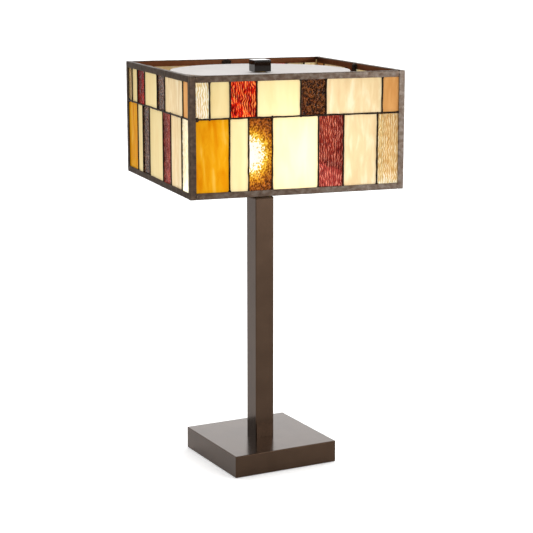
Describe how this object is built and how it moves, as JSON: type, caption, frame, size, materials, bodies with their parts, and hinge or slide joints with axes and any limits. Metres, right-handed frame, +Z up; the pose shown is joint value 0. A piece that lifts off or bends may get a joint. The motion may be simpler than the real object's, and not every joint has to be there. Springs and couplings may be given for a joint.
{
  "type": "stained glass table lamp",
  "caption": "Table lamp with a weighted square base, a square stem and a box-shaped leaded glass shade on a harp, under a disc and a block finial.",
  "frame": {"origin": "on the surface that the lamp stands on, under the middle of the stem", "axes": "+Z up along the stem, +X to the right and -Y out of the front, square with the base; the shade stands 7.4 degrees clockwise from them, seen from above"},
  "size_m": [0.2802, 0.2802, 0.4745],
  "materials": {
    "bronze": "satin powder coat in dark brown bronze, with a fine even texture",
    "patina": "chemically darkened solder and metal strip, half matt, with lighter rubbed edges",
    "white_paint": "matt white paint",
    "cast_iron": "raw cast iron",
    "zinc": "zinc plate or bare nickel",
    "brass": "lacquered brass",
    "black_plastic": "moulded black plastic",
    "ceramic": "glazed white ceramic",
    "foam_rubber": "closed-cell black foam rubber",
    "pearl_glass": "pearl bulb glass, lit warm white",
    "cream_glass": "cream opalescent glass with faint wisps",
    "amber_glass": "amber opalescent glass with orange streaks",
    "caramel_glass": "tan opalescent glass",
    "clear_glass": "colourless rippled glass",
    "red_glass": "red rippled glass",
    "burgundy_glass": "burgundy rippled glass",
    "smoke_glass": "dark brown hammered glass"
  },
  "bodies": {
    "stand": {"foot_pad": "foam_rubber", "base_plate": "zinc", "base_cover": "bronze", "base_weight": "cast_iron", "cord_gland": "black_plastic", "base_washer": "zinc", "base_nut": "zinc", "stem": "bronze", "stem_cap": "bronze", "threaded_rod": "zinc", "harp_saddle": "brass", "lampholder_cap": "black_plastic", "lampholder_skirt": "black_plastic", "lampholder_core": "ceramic", "lampholder_screw_shell": "brass", "lampholder_contact": "brass"},
    "bulb_tip": {"bulb_contact": "zinc"},
    "bulb": {"bulb_cap": "zinc", "bulb_glass": "pearl_glass"},
    "harp": {"harp_loop": "brass", "harp_stud": "brass"},
    "ferrule_left": {"harp_ferrule_left": "brass"},
    "ferrule_right": {"harp_ferrule_right": "brass"},
    "shade_seat": {"seat_washer": "brass"},
    "shade": {"top_rail_front": "patina", "bottom_rail_front": "patina", "corner_post_front_left": "patina", "lead_lines_front": "patina", "glass_upper_front": "cream_glass", "glass_lower_front": "amber_glass", "top_rail_right": "patina", "bottom_rail_right": "patina", "corner_post_front_right": "patina", "lead_lines_right": "patina", "glass_upper_right": "cream_glass", "glass_lower_right": "amber_glass", "top_rail_back": "patina", "bottom_rail_back": "patina", "corner_post_back_right": "patina", "lead_lines_back": "patina", "glass_upper_back": "cream_glass", "glass_lower_back": "amber_glass", "top_rail_left": "patina", "bottom_rail_left": "patina", "corner_post_back_left": "patina", "lead_lines_left": "patina", "glass_upper_left": "cream_glass", "glass_lower_left": "amber_glass", "shade_spider": "patina", "shade_disc": "white_paint"},
    "finial_washer": {"finial_washer": "brass"},
    "finial": {"finial": "bronze"}
  },
  "joints": [
    {"name": "bulb_rise", "type": "slide", "parent": "stand", "child": "bulb_tip", "axis": [0, 0, 1], "range_m": [0, 0.02178]},
    {"name": "bulb_turn", "type": "hinge", "parent": "bulb_tip", "child": "bulb", "pos_m": [0, 0, 0.345], "axis": [0, 0, 1], "range_deg": [0, 2160]},
    {"name": "harp_lift", "type": "slide", "parent": "stand", "child": "harp", "axis": [0, 0, 1], "range_m": [0, 0.07]},
    {"name": "ferrule_left_slide", "type": "slide", "parent": "harp", "child": "ferrule_left", "axis": [0, 0, 1], "range_m": [0, 0.012]},
    {"name": "ferrule_right_slide", "type": "slide", "parent": "harp", "child": "ferrule_right", "axis": [0, 0, 1], "range_m": [0, 0.012]},
    {"name": "shade_lift", "type": "slide", "parent": "harp", "child": "shade_seat", "axis": [0, 0, 1], "range_m": [0, 0.14]},
    {"name": "shade_swivel", "type": "hinge", "parent": "shade_seat", "child": "shade", "pos_m": [0, 0, 0.458], "axis": [0, 0, 1], "continuous": true},
    {"name": "finial_rise", "type": "slide", "parent": "shade_seat", "child": "finial_washer", "axis": [0, 0, 1], "range_m": [0, 0.01001]},
    {"name": "finial_turn", "type": "hinge", "parent": "finial_washer", "child": "finial", "pos_m": [0, 0, 0.468], "axis": [0, 0, 1], "range_deg": [0, 3600]}
  ],
  "couplings": [
    {"joint": "bulb_rise", "follows": "bulb_turn", "m_per_rad": 0.00057774},
    {"joint": "finial_rise", "follows": "finial_turn", "m_per_rad": 0.00015915}
  ]
}
